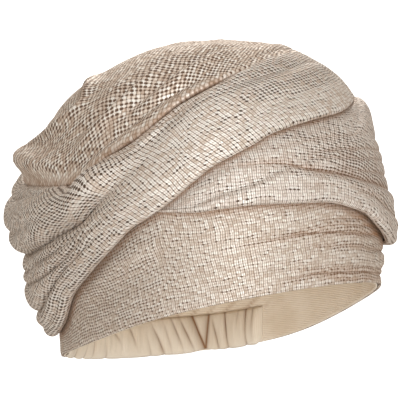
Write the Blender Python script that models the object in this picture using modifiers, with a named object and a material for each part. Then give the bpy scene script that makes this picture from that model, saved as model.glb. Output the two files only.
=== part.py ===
"""A ready-made turban of mesh knit over a jersey lining, held as a head holds it.

The front faces -Y, +Z is up, and the origin is the centre of the head opening.
Every layer of cloth lies on one form. A place on the form is a bearing and a tape height:
the bearing is in degrees from the front, positive towards the wearer's left (+X), and
the tape height is the distance in millimetres up the cloth from the level of the origin.
The lift of a layer is its distance from the form, along the form's normal.
"""

from collections import namedtuple

import bmesh
import bpy
import numpy as np

# Driving dimensions, in millimetres and degrees
RIM_LIFT = 0.8
RIM_RISE = 28.4
RIM_BOW = 1.6
RIM_TWIST = 1.6
PLAN_POWER = 2.2
CLOTH = 1.5
LINING_CLOTH = 1.0
GAP = 0.5
OVERLAP = 12.0
BROW_OVERLAP = 6.0
ROLL_TURN = 165.0
ROLL_REACH = 14.0
FOLD_START = 8.0
PLEAT_LEAN = 0.8
CASING_HEIGHT = 20.0
CASING_START = 124.0
CASING_END = 236.0
CASING_GATHERS = 14
CASING_PUCKER = 0.9
CASING_SLACK = 1.9
MIDDLE_START = -66.0
MIDDLE_END = 181.33
MIDDLE_END_WIDTH = 4.0
METRES = 0.001

# The two cloths: a knit with a metallic face, and a matt jersey
Finish = namedtuple("Finish", "colour roughness metallic")
KNIT = Finish((0.56, 0.45, 0.36), 0.42, 0.35)
JERSEY = Finish((0.72, 0.56, 0.40), 0.85, 0.0)

# Columns of the grids: narrow steps round the front and the gathers, wide steps elsewhere
NARROW_FROM = -144.0
NARROW_STEP = 6.0
WIDE_FROM = 60.0
WIDE_COUNT = 18

# A level round the head: tape height, rise, and reach from the head's axis on four sides
Level = namedtuple("Level", "tape rise front back left right")
FORM = (
    Level(-40, -40, 96.5, 97, 78, 79.5),
    Level(-20, -20, 97.5, 98.3, 78.7, 80.2),
    Level(0, 0, 98, 100, 79, 81),
    Level(20, 20, 98, 107, 78.5, 84),
    Level(40, 40, 99, 113, 79, 87),
    Level(60, 60, 99, 117, 79, 90),
    Level(80, 80, 96, 117, 76.5, 90),
    Level(100, 99.5, 91, 109, 73, 84.5),
    Level(118, 116, 84, 98, 67, 76),
    Level(136, 130.5, 74, 81, 59, 63),
    Level(154, 141.4, 61, 61, 48, 47),
    Level(172, 149.2, 44, 41, 35, 32.5),
    Level(190, 153.1, 25, 23, 20, 18.5),
    Level(213, 154.6, 0, 0, 0, 0),
)
HEAD = (
    Level(-40, -40, 96.5, 97, 78, 79.5),
    Level(-20, -20, 97.5, 98.3, 78.7, 80.2),
    Level(0, 0, 98, 99.5, 79, 80.8),
    Level(22, 22, 97.8, 101, 78.3, 81),
    Level(45, 45, 95.5, 100, 77.3, 79.5),
    Level(70, 69, 88, 93, 73, 74.5),
    Level(95, 90, 72, 77, 61.5, 62),
    Level(120, 106, 50, 54, 43, 43),
    Level(143, 114, 25, 27, 21.5, 21.5),
    Level(168, 117, 0, 0, 0, 0),
)

# A wrap at a bearing: tape height of its lower edge, radius of the roll there, lift of
# the roll's outer face, lift of the wrap's body, the length over which its upper side
# dips, and the lift it dips to, where it passes under the next layer
Edge = namedtuple("Edge", "bearing lower roll hem body dip tuck")
MIDDLE = (
    Edge(-66, 70, 0.2, 2.2, 2.2, 14, 2.2),
    Edge(-60, 71, 0.3, 2.4, 2.4, 14, 2.2),
    Edge(-53, 71, 0.8, 3.6, 3.8, 14, 2.2),
    Edge(-46, 71, 1.9, 6.0, 5.0, 16, 2.2),
    Edge(-37, 73, 2.7, 7.8, 5.8, 20, 2.2),
    Edge(-22, 75, 2.8, 8.0, 6.0, 24, 2.2),
    Edge(-6, 75, 2.8, 8.2, 6.0, 24, 1.8),
    Edge(10, 69, 2.8, 8.4, 5.5, 20, 1.4),
    Edge(20, 59, 2.8, 9.0, 6.0, 14, 1.4),
    Edge(32, 50, 3.0, 9.2, 5.5, 7, 1.4),
    Edge(50, 47, 3.0, 9.2, 4.6, 5, 1.4),
    Edge(70, 46, 3.0, 9.2, 5.0, 7, 1.4),
    Edge(95, 44, 2.8, 8.6, 5.5, 14, 1.8),
    Edge(130, 40, 2.8, 8.0, 5.5, 18, 2.2),
    Edge(152, 40, 1.4, 5.2, 3.6, 14, 2.2),
    Edge(161, 42, 0.3, 2.4, 2.4, 14, 2.2),
    Edge(180, 44, 0.2, 2.2, 2.2, 14, 2.2),
)
SASH = (
    Edge(-180, 22, 3.4, 8.9, 7.5, 14, 2.2),
    Edge(-155, 2, 3.4, 8.9, 8.0, 10, 2.2),
    Edge(-130, -5, 3.4, 8.9, 8.5, 5, 2.2),
    Edge(-117, 3, 3.4, 8.9, 8.5, 5, 2.2),
    Edge(-103, 22, 3.4, 8.9, 8.5, 6, 2.2),
    Edge(-91, 34, 3.4, 9.2, 9.0, 8, 2.2),
    Edge(-75, 51, 3.0, 9.8, 10.0, 10, 2.2),
    Edge(-65, 63, 2.8, 10.0, 10.5, 11, 2.2),
    Edge(-57, 71, 2.8, 10.0, 10.5, 12, 2.2),
    Edge(-46, 86, 2.6, 9.6, 10.5, 12, 2.2),
    Edge(-40, 94, 2.4, 9.2, 10.0, 10, 2.2),
    Edge(-28, 105, 2.2, 8.8, 9.0, 6, 2.2),
    Edge(-20, 112, 2.0, 8.4, 8.0, 4, 2.2),
    Edge(-4, 119, 1.8, 7.8, 7.5, 3, 2.2),
    Edge(10, 123, 1.6, 7.0, 7.5, 3, 2.2),
    Edge(30, 130, 0.8, 5.4, 6.2, 3, 2.2),
    Edge(55, 133, 0.7, 5.2, 6.0, 3, 2.2),
    Edge(90, 117, 1.8, 7.8, 7.0, 4, 2.2),
    Edge(120, 94, 2.4, 9.2, 7.5, 6, 2.2),
    Edge(150, 60, 2.8, 10.4, 8.0, 10, 2.2),
    Edge(165, 40, 3.0, 10.6, 8.0, 12, 2.2),
)
CROWN = (
    Edge(-180, 106, 1.8, 8.0, 6.5, 0, 0),
    Edge(-155, 88, 2.6, 10.0, 6.5, 0, 0),
    Edge(-128, 80, 3.2, 12.0, 6.5, 0, 0),
    Edge(-107, 81, 2.8, 11.0, 6.5, 0, 0),
    Edge(-92, 84, 2.2, 9.0, 6.5, 0, 0),
    Edge(-80, 98, 2.2, 8.6, 6.5, 0, 0),
    Edge(-68, 109, 2.2, 8.6, 6.5, 0, 0),
    Edge(-53, 130, 2.0, 8.2, 6.5, 0, 0),
    Edge(-39, 143, 1.6, 7.4, 6.5, 0, 0),
    Edge(-26, 153, 1.2, 6.8, 6.5, 0, 0),
    Edge(-5, 164, 1.0, 6.4, 6.5, 0, 0),
    Edge(18, 169, 1.0, 6.4, 6.5, 0, 0),
    Edge(45, 168, 1.0, 6.4, 6.5, 0, 0),
    Edge(75, 160, 1.2, 6.6, 6.5, 0, 0),
    Edge(110, 145, 1.4, 7.0, 6.5, 0, 0),
    Edge(145, 126, 1.6, 7.6, 6.5, 0, 0),
)

# The sash's pleats where it is gathered: the valley each begins at, as a share of the
# sash's visible width from its lower edge, the valley's height over the sash's body, and
# how far the pleat above it bulges
Pleat = namedtuple("Pleat", "valley height bulge")
PLEATS = (
    Pleat(0.00, 0.0, 3.0),
    Pleat(0.20, 2.6, 3.4),
    Pleat(0.37, 0.8, 5.2),
    Pleat(0.52, 0.2, 5.6),
    Pleat(0.66, 2.0, 9.6),
    Pleat(0.86, 1.6, 2.6),
    Pleat(1.00, 0.0, 0.0),
)
ROWS_PER_PLEAT = 3
# How strongly the pleats stand at a bearing, from 0 to 1
Gather = namedtuple("Gather", "bearing strength")
GATHERS = (
    Gather(-180, 0.6),
    Gather(-155, 0.9),
    Gather(-132, 1.0),
    Gather(-115, 0.85),
    Gather(-100, 0.6),
    Gather(-82, 0.3),
    Gather(-65, 0.05),
    Gather(-50, 0.0),
    Gather(130, 0.0),
    Gather(155, 0.3),
)

# A fold follows a path of bearings and tape heights: the width and height of its ridge,
# or of its groove where the height is negative
Fold = namedtuple("Fold", "path width height")
BROW_FOLDS = (
    Fold(((-105, 12), (-81, 27), (-62, 40)), 8, -1.6),
    Fold(((-18, 60), (20, 60), (60, 54)), 3.5, 1.2),
    Fold(((-13, 46), (20, 46), (60, 40)), 3.5, 1.2),
)
MIDDLE_FOLDS = (
    Fold(((-23, 100), (-13, 99), (3, 92), (14, 85), (40, 78)), 6, 2.2),
    Fold(((26, 121), (50, 125), (75, 116)), 9, 4.0),
)
SASH_FOLDS = (
    Fold(((-81, 89), (-71, 96), (-60, 105), (-54, 117), (-46, 128)), 4.5, -3.0),
    Fold(((-80, 70), (-92, 63), (-122, 50)), 4.5, -4.0),
    Fold(((-100, 46), (-112, 42), (-128, 36)), 4, -3.0),
)
CROWN_FOLDS = (
    Fold(((-155, 96), (-128, 92), (-112, 92)), 5.5, 8.0),
    Fold(((-155, 90), (-128, 86), (-108, 86)), 6, 4.0),
    Fold(((-131, 139), (-119, 133), (-110, 122), (-118, 112)), 6, 3.5),
    Fold(((-92, 106), (-80, 126), (-74, 142), (-71, 157)), 7, 3.5),
)


def through(places, values, at):
    """A smooth curve through values at places that never swings past them, read at the given numbers."""
    places = np.asarray(places, float)
    values = np.asarray(values, float)
    at = np.clip(at, places[0], places[-1])
    index = np.clip(np.searchsorted(places, at, side="right") - 1, 0, len(places) - 2)
    rise = np.diff(values) / np.diff(places)
    slopes = np.concatenate([[rise[0]], np.zeros(len(rise) - 1), [rise[-1]]])
    same_way = rise[:-1] * rise[1:] > 0
    sums = np.where(same_way, rise[:-1] + rise[1:], 1)
    slopes[1:-1] = np.where(same_way, 2 * rise[:-1] * rise[1:] / sums, 0)
    span = places[index + 1] - places[index]
    t = (at - places[index]) / span
    start = (1 + 2 * t) * (1 - t) ** 2 * values[index]
    end = t * t * (3 - 2 * t) * values[index + 1]
    bend = t * (1 - t) ** 2 * slopes[index] - t * t * (1 - t) * slopes[index + 1]
    return start + end + bend * span


def level(rows, name, tape):
    """One column of a form's levels, at the given tape heights."""
    return through([row.tape for row in rows], [getattr(row, name) for row in rows], tape)


def round_head(rows, name, bearing):
    """One column of a table of bearings, repeated past both ends so that it closes."""
    places = [row.bearing for row in rows]
    values = [getattr(row, name) for row in rows]
    places = [place - 360 for place in places] + places + [place + 360 for place in places]
    return through(places, values * 3, bearing)


def on_form(rows, bearing, tape):
    """Points on a form, in millimetres."""
    angle = np.radians(bearing)
    side = np.where(np.sin(angle) >= 0, level(rows, "left", tape), level(rows, "right", tape))
    end = np.where(np.cos(angle) >= 0, level(rows, "front", tape), level(rows, "back", tape))
    across = np.abs(np.sin(angle) / np.maximum(side, 1e-6)) ** PLAN_POWER
    along = np.abs(np.cos(angle) / np.maximum(end, 1e-6)) ** PLAN_POWER
    reach = (across + along) ** (-1 / PLAN_POWER)
    rise = level(rows, "rise", tape) + 0 * reach
    return np.stack([reach * np.sin(angle), -reach * np.cos(angle), rise], -1)


def lifted(rows, bearing, tape, lift):
    """Points off a form by the given lift, along its normal."""
    step = 0.5
    top = rows[-1].tape
    low_tape = np.minimum(tape, top - step) - step
    high_tape = np.minimum(tape + step, top)
    round_step = on_form(rows, bearing + step, low_tape) - on_form(rows, bearing - step, low_tape)
    up_step = on_form(rows, bearing, high_tape) - on_form(rows, bearing, low_tape)
    normal = np.cross(round_step, up_step)
    normal /= np.linalg.norm(normal, axis=-1, keepdims=True)
    normal[tape >= top - step] = (0, 0, 1)
    return on_form(rows, bearing, tape) + lift[..., None] * normal


def rim(bearing):
    """Tape height of the rim, which is high at the forehead and low at the nape."""
    angle = np.radians(bearing)
    bend = RIM_BOW * np.cos(2 * angle) + RIM_TWIST * np.sin(2 * angle)
    return RIM_LIFT + RIM_RISE * np.cos(angle) + bend


def fold_lift(folds, bearing, tape, stretch_steps=4):
    """Sum of the folds' ridges and grooves at places on the form."""
    points = on_form(FORM, bearing, tape)
    total = np.zeros(np.shape(bearing))
    for fold in folds:
        stops = np.arange(len(fold.path))
        along = np.linspace(0, stops[-1], stretch_steps * stops[-1] + 1)
        line_bearing = np.interp(along, stops, [stop[0] for stop in fold.path])
        line_tape = np.interp(along, stops, [stop[1] for stop in fold.path])
        line = on_form(FORM, line_bearing, line_tape)
        away = np.full(total.shape, np.inf)
        for start, end in zip(line[:-1], line[1:]):
            run = end - start
            share = np.clip((points - start) @ run / (run @ run), 0, 1)
            gap = np.linalg.norm(points - start - share[..., None] * run, axis=-1)
            away = np.minimum(away, gap)
        total += fold.height * np.exp(-((away / fold.width) ** 2))
    return total


def pleat_lift(share):
    """Bulges of the pleats across the sash: round crests between sharp valleys."""
    total = np.zeros(np.shape(share))
    for pleat, above in zip(PLEATS[:-1], PLEATS[1:]):
        t = np.clip((share - pleat.valley) / (above.valley - pleat.valley), 0, 1)
        total += pleat.bulge * np.sqrt(np.clip(1 - (2 * t**PLEAT_LEAN - 1) ** 2, 0, 1))
    places = [pleat.valley for pleat in PLEATS]
    return total + np.interp(share, places, [pleat.height for pleat in PLEATS])


def smooth_step(t):
    t = np.clip(t, 0, 1)
    return t * t * (3 - 2 * t)


def bearings():
    """Bearings of the columns, all the way round."""
    narrow = np.arange(NARROW_FROM, WIDE_FROM, NARROW_STEP)
    wide = np.linspace(WIDE_FROM, NARROW_FROM + 360, WIDE_COUNT + 1)
    return np.concatenate([narrow, wide])


def brow_top(bearing):
    """The brow band ends under whichever wrap is lower."""
    under_middle = round_head(MIDDLE, "lower", np.clip(bearing, MIDDLE_START, MIDDLE_END))
    return np.minimum(under_middle, round_head(SASH, "lower", bearing)) + BROW_OVERLAP


def middle_top(bearing):
    """The middle wrap passes under the sash, and both its ends lie wholly under it."""
    narrowest = round_head(MIDDLE, "lower", bearing) + MIDDLE_END_WIDTH
    return np.maximum(round_head(SASH, "lower", bearing), narrowest)


def cloth_material(name, finish):
    material = bpy.data.materials.new(name)
    material.use_nodes = True
    shader = material.node_tree.nodes["Principled BSDF"]
    shader.inputs["Base Color"].default_value = (*finish.colour, 1)
    shader.inputs["Roughness"].default_value = finish.roughness
    shader.inputs["Metallic"].default_value = finish.metallic
    return material


def cloth_sheet(name, points, thickness, material):
    """A grid laid on rows of points, closed where they meet, and thickened by Solidify."""
    columns, rows = points.shape[0] - 1, points.shape[1] - 1
    shape = bmesh.new()
    bmesh.ops.create_grid(shape, x_segments=columns, y_segments=rows, size=0.5)
    for vertex in shape.verts:
        column = round((vertex.co.x + 0.5) * columns)
        row = round((vertex.co.y + 0.5) * rows)
        vertex.co = points[column, row] * METRES
    bmesh.ops.remove_doubles(shape, verts=shape.verts[:], dist=1e-5)
    bmesh.ops.recalc_face_normals(shape, faces=shape.faces[:])
    mesh = bpy.data.meshes.new(name)
    shape.to_mesh(mesh)
    shape.free()
    mesh.shade_smooth()
    mesh.materials.append(material)
    piece = bpy.data.objects.new(name, mesh)
    bpy.data.collections["turban"].objects.link(piece)
    wall = piece.modifiers.new("cloth", "SOLIDIFY")
    wall.thickness = thickness * METRES
    wall.offset = 0
    return piece


def wrap_points(edges, columns, visible_top, shares, folds, pleated=False):
    """Points of a wrap: up round its rolled edge, over its body, and on under the next layer."""
    bearing = columns[:, None] + 0 * shares
    lower = round_head(edges, "lower", bearing)
    roll = round_head(edges, "roll", bearing)
    hem = round_head(edges, "hem", bearing)
    body = round_head(edges, "body", bearing)
    dip = round_head(edges, "dip", bearing)
    tuck = round_head(edges, "tuck", bearing)
    turn = np.radians(np.clip(shares, -1, 0) * ROLL_TURN + 90)
    width = visible_top(bearing) - lower - roll
    up = np.clip(shares, 0, 1) * width
    hidden = np.clip(shares - 1, 0, 1) * OVERLAP
    tape = lower + roll * (1 - np.cos(turn)) + up + hidden
    extra = fold_lift(folds, bearing, tape)
    if pleated:
        extra = extra + round_head(GATHERS, "strength", bearing) * pleat_lift(shares)
    extra = extra * smooth_step(up / FOLD_START)
    over = hem + (body - hem) * smooth_step(up / ROLL_REACH) + extra
    sink = np.where(dip > 0, smooth_step((up - width + dip) / np.maximum(dip, 1)), 0)
    lift = over + (tuck - over) * sink
    lift = np.where(shares < 0, hem - roll * (1 - np.sin(turn)), lift)
    return lifted(FORM, bearing, tape, lift)


def brow_band(material):
    bearing, share = np.meshgrid(bearings(), np.linspace(0, 1, 6), indexing="ij")
    lower = rim(bearing)
    tape = lower + (brow_top(bearing) - lower) * share
    points = lifted(FORM, bearing, tape, fold_lift(BROW_FOLDS, bearing, tape))
    return cloth_sheet("brow_band", points, CLOTH, material)


def middle_wrap(material):
    columns = bearings()
    columns = columns[(columns >= MIDDLE_START) & (columns <= MIDDLE_END + 0.01)]
    body = [0.14, 0.3, 0.46, 0.62, 0.76, 0.86, 0.94, 1.0]
    shares = np.concatenate([np.linspace(-1, 0, 4), body, [2]])
    points = wrap_points(MIDDLE, columns, middle_top, shares, MIDDLE_FOLDS)
    return cloth_sheet("middle_wrap", points, CLOTH, material)


def sash(material):
    inner = [
        pleat.valley + (above.valley - pleat.valley) * step / ROWS_PER_PLEAT
        for pleat, above in zip(PLEATS[:-1], PLEATS[1:])
        for step in range(ROWS_PER_PLEAT)
    ]
    shares = np.concatenate([np.linspace(-1, 0, 4), inner[1:], [1, 2]])
    points = wrap_points(
        SASH,
        bearings(),
        lambda bearing: round_head(CROWN, "lower", bearing),
        shares,
        SASH_FOLDS,
        pleated=True,
    )
    return cloth_sheet("sash", points, CLOTH, material)


def crown_cloth(material):
    body = [0.05, 0.1, 0.15, 0.21, 0.29, 0.4, 0.54, 0.7, 0.86, 1.0]
    shares = np.concatenate([np.linspace(-1, 0, 3), body])
    points = wrap_points(
        CROWN,
        bearings(),
        lambda bearing: FORM[-1].tape + 0 * bearing,
        shares,
        CROWN_FOLDS,
    )
    return cloth_sheet("crown_cloth", points, CLOTH, material)


def lining(material):
    depth = (CLOTH + LINING_CLOTH) / 2 + GAP
    bearing, share = np.meshgrid(bearings()[::2], np.linspace(0, 1, 8), indexing="ij")
    lower = rim(bearing)
    tape = lower + (HEAD[-1].tape - lower) * share
    points = lifted(HEAD, bearing, tape, np.full(bearing.shape, -depth))
    return cloth_sheet("lining", points, LINING_CLOTH, material)


def elastic_casing(material):
    depth = (CLOTH + LINING_CLOTH) / 2 + GAP + LINING_CLOTH + CASING_PUCKER + CASING_SLACK
    columns = np.linspace(CASING_START, CASING_END, 4 * CASING_GATHERS + 1)
    bearing, height = np.meshgrid(columns, np.linspace(0, CASING_HEIGHT, 3), indexing="ij")
    turns = (bearing - CASING_START) / (CASING_END - CASING_START) * CASING_GATHERS
    pucker = CASING_PUCKER * np.cos(2 * np.pi * turns)
    points = lifted(HEAD, bearing, rim(bearing) + 1 + height, pucker - depth)
    return cloth_sheet("elastic_casing", points, LINING_CLOTH, material)


for old in list(bpy.data.objects):
    bpy.data.objects.remove(old)

bpy.context.scene.collection.children.link(bpy.data.collections.new("turban"))
lining(cloth_material("lining_jersey", JERSEY))
elastic_casing(cloth_material("casing_jersey", JERSEY))
brow_band(cloth_material("brow_band_knit", KNIT))
middle_wrap(cloth_material("middle_wrap_knit", KNIT))
sash(cloth_material("sash_knit", KNIT))
crown_cloth(cloth_material("crown_cloth_knit", KNIT))
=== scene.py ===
import math
from collections import namedtuple

import bmesh
import bpy
import numpy as np
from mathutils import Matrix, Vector


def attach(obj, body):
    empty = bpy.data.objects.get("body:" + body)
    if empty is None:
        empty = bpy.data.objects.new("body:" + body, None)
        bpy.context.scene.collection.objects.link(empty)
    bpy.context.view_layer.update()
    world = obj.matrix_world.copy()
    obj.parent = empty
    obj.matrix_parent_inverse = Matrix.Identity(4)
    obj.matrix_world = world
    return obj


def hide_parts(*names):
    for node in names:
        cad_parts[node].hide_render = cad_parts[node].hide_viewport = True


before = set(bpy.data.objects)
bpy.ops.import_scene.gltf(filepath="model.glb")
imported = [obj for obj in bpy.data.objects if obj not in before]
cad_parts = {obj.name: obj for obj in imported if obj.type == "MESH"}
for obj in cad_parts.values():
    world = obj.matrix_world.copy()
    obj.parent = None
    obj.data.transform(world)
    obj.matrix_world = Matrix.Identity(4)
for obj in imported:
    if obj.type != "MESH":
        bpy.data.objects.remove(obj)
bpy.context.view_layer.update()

# Studio
# The turban is held up as on a head, inside a wide sweep of lit white paper that is floor and
# walls in one. A large soft lamp, a little cool, stands by the camera. Weaker ones stand
# behind, above and below, and the air between them is warm.
SWEEP_RADIUS = 7.0
FLOOR_LEVEL = -0.75
PAPER = "#fbfbfa"
CAMERA_PLACE = (-0.9797, -1.2539, 0.1672)
CAMERA_AIM = (-0.0043, 0.0129, 0.0711)
CAMERA_LENS = 254.9
CLOTH_CENTRE = (0, 0, 0.08)
AIR_COLOUR = (1.0, 0.93, 0.85, 1.0)
AIR_STRENGTH = 0.57
COOL_LIGHT = (0.93, 0.97, 1.0)


def linear(hex_colour):
    """A colour given as sRGB hex, in linear light."""
    parts = [int(hex_colour[i : i + 2], 16) / 255 for i in (1, 3, 5)]
    return [c / 12.92 if c <= 0.04045 else ((c + 0.055) / 1.055) ** 2.4 for c in parts] + [1.0]


def add_node(tree, kind, inputs=(), **settings):
    """Adds a node with its settings. Each input is a value, or a socket to link from."""
    made = tree.nodes.new(kind)
    for name, value in settings.items():
        setattr(made, name, value)
    for name, value in dict(inputs).items():
        if isinstance(value, bpy.types.NodeSocket):
            tree.links.new(value, made.inputs[name])
        else:
            made.inputs[name].default_value = value
    return made


def blend(tree, share, one, other):
    """One colour passing into another as the share goes from 0 to 1."""
    return add_node(tree, "ShaderNodeMix", {0: share, 6: one, 7: other}, data_type="RGBA").outputs[2]


def new_material(name):
    """A material of that name, its node tree and its shader."""
    material = bpy.data.materials.new(name)
    material.use_nodes = True
    return material, material.node_tree, material.node_tree.nodes["Principled BSDF"]


def soft_lamp(name, place, aim, size, power, colour=(1, 1, 1)):
    """A square area lamp at a place, turned to a point."""
    bpy.ops.object.light_add(type="AREA", location=place)
    lamp = bpy.context.object
    lamp.name = name
    lamp.data.shape = "SQUARE"
    lamp.data.size = size
    lamp.data.energy = power
    lamp.data.color = colour
    turn = Vector(place) - Vector(aim)
    lamp.rotation_euler = turn.to_track_quat("Z", "Y").to_euler()


bpy.ops.object.select_all(action="DESELECT")
bpy.ops.object.camera_add(location=CAMERA_PLACE)
camera = bpy.context.object
camera.data.sensor_width = 36.0
camera.data.lens = CAMERA_LENS
look = Vector(CAMERA_AIM) - camera.location
camera.rotation_euler = look.to_track_quat("-Z", "Y").to_euler()
camera.data.clip_end = 100.0
bpy.context.scene.camera = camera

bpy.ops.mesh.primitive_uv_sphere_add(segments=64, ring_count=32, radius=SWEEP_RADIUS)
floor = bpy.context.object
floor.name = "paper_floor"
for vertex in floor.data.vertices:
    vertex.co.z = max(vertex.co.z, FLOOR_LEVEL)
floor.data.shade_smooth()
# Matt white paper, lit so evenly that it shows no edge, shade or grain.
paper, tree, shader = new_material("white_paper")
shader.inputs["Roughness"].default_value = 0.9
grain = add_node(tree, "ShaderNodeTexNoise", {"Scale": 3.0, "Detail": 3.0})
tone = blend(tree, grain.outputs[0], linear("#ffffff"), linear(PAPER))
tree.links.new(tone, shader.inputs["Base Color"])
shader.inputs["Emission Color"].default_value = (1.0, 1.0, 1.0, 1.0)
shader.inputs["Emission Strength"].default_value = 1.0
floor.data.materials.append(paper)
floor.visible_diffuse = False
floor.visible_glossy = False
floor.visible_shadow = False

world = bpy.data.worlds.new("studio_air")
bpy.context.scene.world = world
world.use_nodes = True
air = world.node_tree.nodes["Background"]
air.inputs["Color"].default_value = AIR_COLOUR
air.inputs["Strength"].default_value = AIR_STRENGTH
bpy.context.scene.view_settings.view_transform = "Standard"
soft_lamp("lamp_by_camera", (-0.95, -1.8, 0.85), CLOTH_CENTRE, size=1.7, power=24.5, colour=COOL_LIGHT)
soft_lamp("lamp_behind", (1.2, 1.6, 1.2), CLOTH_CENTRE, size=1.2, power=12.0)
soft_lamp("lamp_top", (0.0, 0.2, 2.2), CLOTH_CENTRE, size=1.2, power=3.0)
soft_lamp("lamp_low", (-0.6, -0.9, -0.6), (0, 0.05, 0.03), size=0.6, power=5.0)

# Lining
# A skull cap of light beige jersey, cut in one with the cover's rim and sewn to it. It is
# matt and plain, with a fine rib, and only its lower part shows, below the front rim.

# A level of a head form: how far up the cloth it lies, its height, and how far it reaches to the
# front, back, left and right, all in millimetres.
Level = namedtuple("Level", "tape rise front back left right")
HEAD = (
    Level(-40, -40, 96.5, 97, 78, 79.5),
    Level(-20, -20, 97.5, 98.3, 78.7, 80.2),
    Level(0, 0, 98, 99.5, 79, 80.8),
    Level(22, 22, 97.8, 101, 78.3, 81),
    Level(45, 45, 95.5, 100, 77.3, 79.5),
    Level(70, 69, 88, 93, 73, 74.5),
    Level(95, 90, 72, 77, 61.5, 62),
    Level(120, 106, 50, 54, 43, 43),
    Level(143, 114, 25, 27, 21.5, 21.5),
    Level(168, 117, 0, 0, 0, 0),
)
PLAN_POWER = 2.2
RIM_LIFT = 0.8
RIM_RISE = 28.4
RIM_BOW = 1.6
RIM_TWIST = 1.6
COVER_WALL = 1.3
LINING_WALL = 0.8
LINING_DEPTH = 1.75
ROUND_FROM = -144
ROUND_TO = 216
MEAN_REACH = 95.0
METRES = 0.001


def through(places, values, at):
    """A smooth curve through values at places that never swings past them, read at the given numbers."""
    places = np.asarray(places, float)
    values = np.asarray(values, float)
    at = np.clip(at, places[0], places[-1])
    index = np.clip(np.searchsorted(places, at, side="right") - 1, 0, len(places) - 2)
    rise = np.diff(values) / np.diff(places)
    slopes = np.concatenate([[rise[0]], np.zeros(len(rise) - 1), [rise[-1]]])
    same_way = rise[:-1] * rise[1:] > 0
    sums = np.where(same_way, rise[:-1] + rise[1:], 1)
    slopes[1:-1] = np.where(same_way, 2 * rise[:-1] * rise[1:] / sums, 0)
    span = places[index + 1] - places[index]
    t = (at - places[index]) / span
    start = (1 + 2 * t) * (1 - t) ** 2 * values[index]
    end = t * t * (3 - 2 * t) * values[index + 1]
    bend = t * (1 - t) ** 2 * slopes[index] - t * t * (1 - t) * slopes[index + 1]
    return start + end + bend * span


def level(rows, name, tape):
    """One measure of a head form at heights up the cloth."""
    return through([row.tape for row in rows], [getattr(row, name) for row in rows], tape)


def on_form(rows, bearing, tape):
    """Points on a head form, in millimetres, at bearings from the front and heights up the cloth."""
    angle = np.radians(bearing)
    side = np.where(np.sin(angle) >= 0, level(rows, "left", tape), level(rows, "right", tape))
    end = np.where(np.cos(angle) >= 0, level(rows, "front", tape), level(rows, "back", tape))
    across = np.abs(np.sin(angle) / np.maximum(side, 1e-6)) ** PLAN_POWER
    along = np.abs(np.cos(angle) / np.maximum(end, 1e-6)) ** PLAN_POWER
    reach = (across + along) ** (-1 / PLAN_POWER)
    rise = level(rows, "rise", tape) + 0 * reach
    return np.stack([reach * np.sin(angle), -reach * np.cos(angle), rise], -1)


def lifted(rows, bearing, tape, lift):
    """Points off a head form by the given lift, along its normal."""
    step = 0.5
    top = rows[-1].tape
    low_tape = np.minimum(tape, top - step) - step
    high_tape = np.minimum(tape + step, top)
    round_step = on_form(rows, bearing + step, low_tape) - on_form(rows, bearing - step, low_tape)
    up_step = on_form(rows, bearing, high_tape) - on_form(rows, bearing, low_tape)
    normal = np.cross(round_step, up_step)
    normal /= np.linalg.norm(normal, axis=-1, keepdims=True)
    normal[tape >= top - step] = (0, 0, 1)
    return on_form(rows, bearing, tape) + lift[..., None] * normal


def rim(bearing):
    """Height of the rim up the cloth: high at the forehead, low at the nape."""
    angle = np.radians(bearing)
    bend = RIM_BOW * np.cos(2 * angle) + RIM_TWIST * np.sin(2 * angle)
    return RIM_LIFT + RIM_RISE * np.cos(angle) + bend


def smooth_step(t):
    """From 0 at 0 to 1 at 1, level at both."""
    t = np.clip(t, 0, 1)
    return t * t * (3 - 2 * t)


def cloth_piece(name, points, weave, wall, material, marks=()):
    """A sheet on rows of points, closed where they meet. Its UV map is its threads' run, in metres."""
    columns, rows = points.shape[0] - 1, points.shape[1] - 1
    bpy.ops.object.select_all(action="DESELECT")
    bpy.ops.mesh.primitive_grid_add(x_subdivisions=columns, y_subdivisions=rows, size=1, calc_uvs=False)
    piece = bpy.context.object
    piece.name = name
    mesh = piece.data
    mesh.name = name
    flat = np.zeros(len(mesh.vertices) * 3)
    mesh.vertices.foreach_get("co", flat)
    flat = flat.reshape(-1, 3)
    column = np.rint((flat[:, 0] + 0.5) * columns).astype(int)
    row = np.rint((flat[:, 1] + 0.5) * rows).astype(int)
    mesh.vertices.foreach_set("co", (points[column, row] * METRES).ravel())
    corner = np.zeros(len(mesh.loops), int)
    mesh.loops.foreach_get("vertex_index", corner)
    thread = mesh.uv_layers.new(name="thread")
    thread.data.foreach_set("uv", (weave[column, row] * METRES)[corner].ravel())
    for mark, values in dict(marks).items():
        mesh.attributes.new(mark, "FLOAT", "POINT").data.foreach_set("value", values[column, row].ravel())
    shape = bmesh.new()
    shape.from_mesh(mesh)
    bmesh.ops.remove_doubles(shape, verts=shape.verts[:], dist=1e-5)
    bmesh.ops.recalc_face_normals(shape, faces=shape.faces[:])
    shape.to_mesh(mesh)
    shape.free()
    mesh.shade_smooth()
    mesh.materials.append(material)
    thickness = piece.modifiers.new("wall", "SOLIDIFY")
    thickness.thickness = wall * METRES
    thickness.offset = 0
    bpy.ops.object.modifier_apply(modifier=thickness.name)
    return piece


def dress(piece, node_name):
    """Hands a finished sheet to the frame in place of its plain solid."""
    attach(piece, "root")
    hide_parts(node_name)


def reckon(tree, operation, *values):
    """What a Math node makes of numbers and sockets."""
    return add_node(tree, "ShaderNodeMath", dict(enumerate(values)), operation=operation).outputs[0]


def noise(tree, vector, scale, detail):
    """Smooth noise. On threads measured in metres, a scale of 1000 makes patches of about 1 mm."""
    return add_node(
        tree, "ShaderNodeTexNoise", {"Vector": vector, "Scale": scale, "Detail": detail}
    ).outputs[0]


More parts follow.
